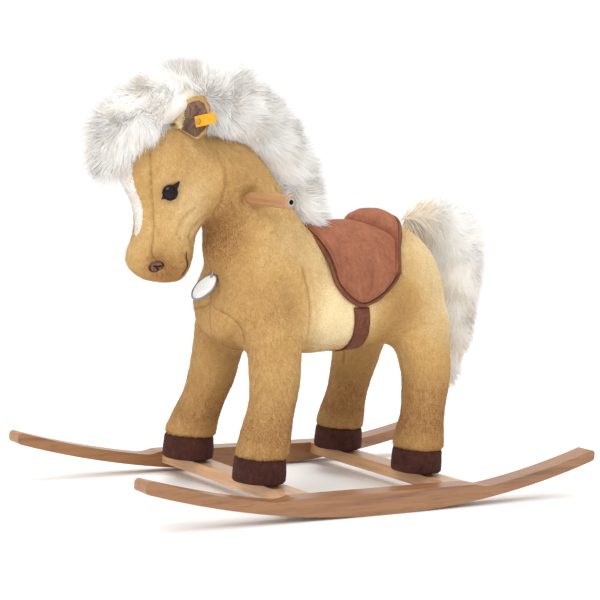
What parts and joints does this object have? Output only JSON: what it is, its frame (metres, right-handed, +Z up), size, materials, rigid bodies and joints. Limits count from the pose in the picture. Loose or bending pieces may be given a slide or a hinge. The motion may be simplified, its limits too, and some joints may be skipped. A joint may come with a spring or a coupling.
{
  "type": "plush rocking horse",
  "caption": "Stuffed plush horse with a sewn saddle, fur mane and tail and two wooden handles, standing on a pair of curved wooden rockers joined by cross slats.",
  "frame": {"origin": "on the floor, midway between the two rockers and between their ends", "axes": "+Z up, the horse faces -Y, its left side is +X"},
  "size_m": [0.445, 0.924, 0.7006],
  "materials": {
    "beech": "clear satin lacquer",
    "dowel_wood": "bare",
    "plywood": "sanded",
    "steel": "grey powder coat",
    "fixings": "zinc plated",
    "felt": "dense felt",
    "plush": "short golden plush, mottled darker in the hollows",
    "stuffing": "loose fibre fill",
    "hoof_suede": "dark brown suede cloth",
    "white_plush": "short white plush",
    "long_fur": "long white fur",
    "ear_lining": "brown velour",
    "brass": "polished",
    "tag_cloth": "woven ribbon",
    "eye": "polished",
    "washer_plastic": "moulded",
    "saddle_suede": "suede cloth with rolled seams",
    "tag_metal": "white enamel with a polished rim",
    "cord": "twisted thread"
  },
  "bodies": {
    "horse": {"rocker_left": "beech", "rocker_right": "beech", "front_slat": "beech", "rear_slat": "beech", "slat_dowels": "dowel_wood", "leg_bolts": "fixings", "leg_washers": "fixings", "felt_pads": "felt", "foot_plates": "steel", "front_leg_frame": "steel", "hind_leg_frame": "steel", "spine_tube": "steel", "neck_tube": "steel", "handle_socket": "steel", "handle_rod": "fixings", "left_grip": "beech", "right_grip": "beech", "grip_sleeve_nuts": "fixings", "seat_board": "plywood", "seat_board_screws": "fixings", "torso_cover": "plush", "torso_filling": "stuffing", "neck_cover": "plush", "neck_filling": "stuffing", "head_cover": "plush", "head_filling": "stuffing", "front_left_leg": "plush", "front_right_leg": "plush", "hind_left_leg": "plush", "hind_right_leg": "plush", "leg_fillings": "stuffing", "front_left_hoof": "hoof_suede", "front_right_hoof": "hoof_suede", "hind_left_hoof": "hoof_suede", "hind_right_hoof": "hoof_suede", "blaze": "white_plush", "mane": "long_fur", "forelock": "long_fur", "left_eye": "eye", "right_eye": "eye", "eye_washers": "washer_plastic", "saddle_pad": "saddle_suede", "saddle_seat": "saddle_suede", "saddle_cantle": "saddle_suede", "left_saddle_flap": "saddle_suede", "right_saddle_flap": "saddle_suede", "girth_strap": "saddle_suede", "chest_tag_loop": "cord"},
    "tail": {"tail": "long_fur"},
    "left_ear": {"left_ear": "plush", "left_ear_lining": "ear_lining", "ear_rivet": "brass"},
    "right_ear": {"right_ear": "plush", "right_ear_lining": "ear_lining"},
    "ear_tag": {"ear_tag": "tag_cloth"},
    "chest_tag": {"chest_tag": "tag_metal"}
  },
  "joints": [
    {"name": "tail_swing", "type": "hinge", "parent": "horse", "child": "tail", "pos_m": [0, 0.17, 0.47], "axis": [0, 1, 0], "range_deg": [-22, 22]},
    {"name": "left_ear_flop", "type": "hinge", "parent": "horse", "child": "left_ear", "pos_m": [0.052, -0.322, 0.588], "axis": [0.8066, 0.4289, -0.4067], "range_deg": [-12, 12], "stiffness_Nm_per_rad": 0.1},
    {"name": "right_ear_flop", "type": "hinge", "parent": "horse", "child": "right_ear", "pos_m": [-0.052, -0.322, 0.588], "axis": [0.8066, -0.4289, 0.4067], "range_deg": [-12, 12], "stiffness_Nm_per_rad": 0.1},
    {"name": "ear_tag_turn", "type": "hinge", "parent": "left_ear", "child": "ear_tag", "pos_m": [0.07779, -0.31814, 0.6088], "axis": [0.4695, -0.8829, 0], "range_deg": [-20, 20]},
    {"name": "chest_tag_swing", "type": "hinge", "parent": "horse", "child": "chest_tag", "pos_m": [0.008, -0.226, 0.367], "axis": [-1, 0, 0], "range_deg": [0, 30]}
  ]
}
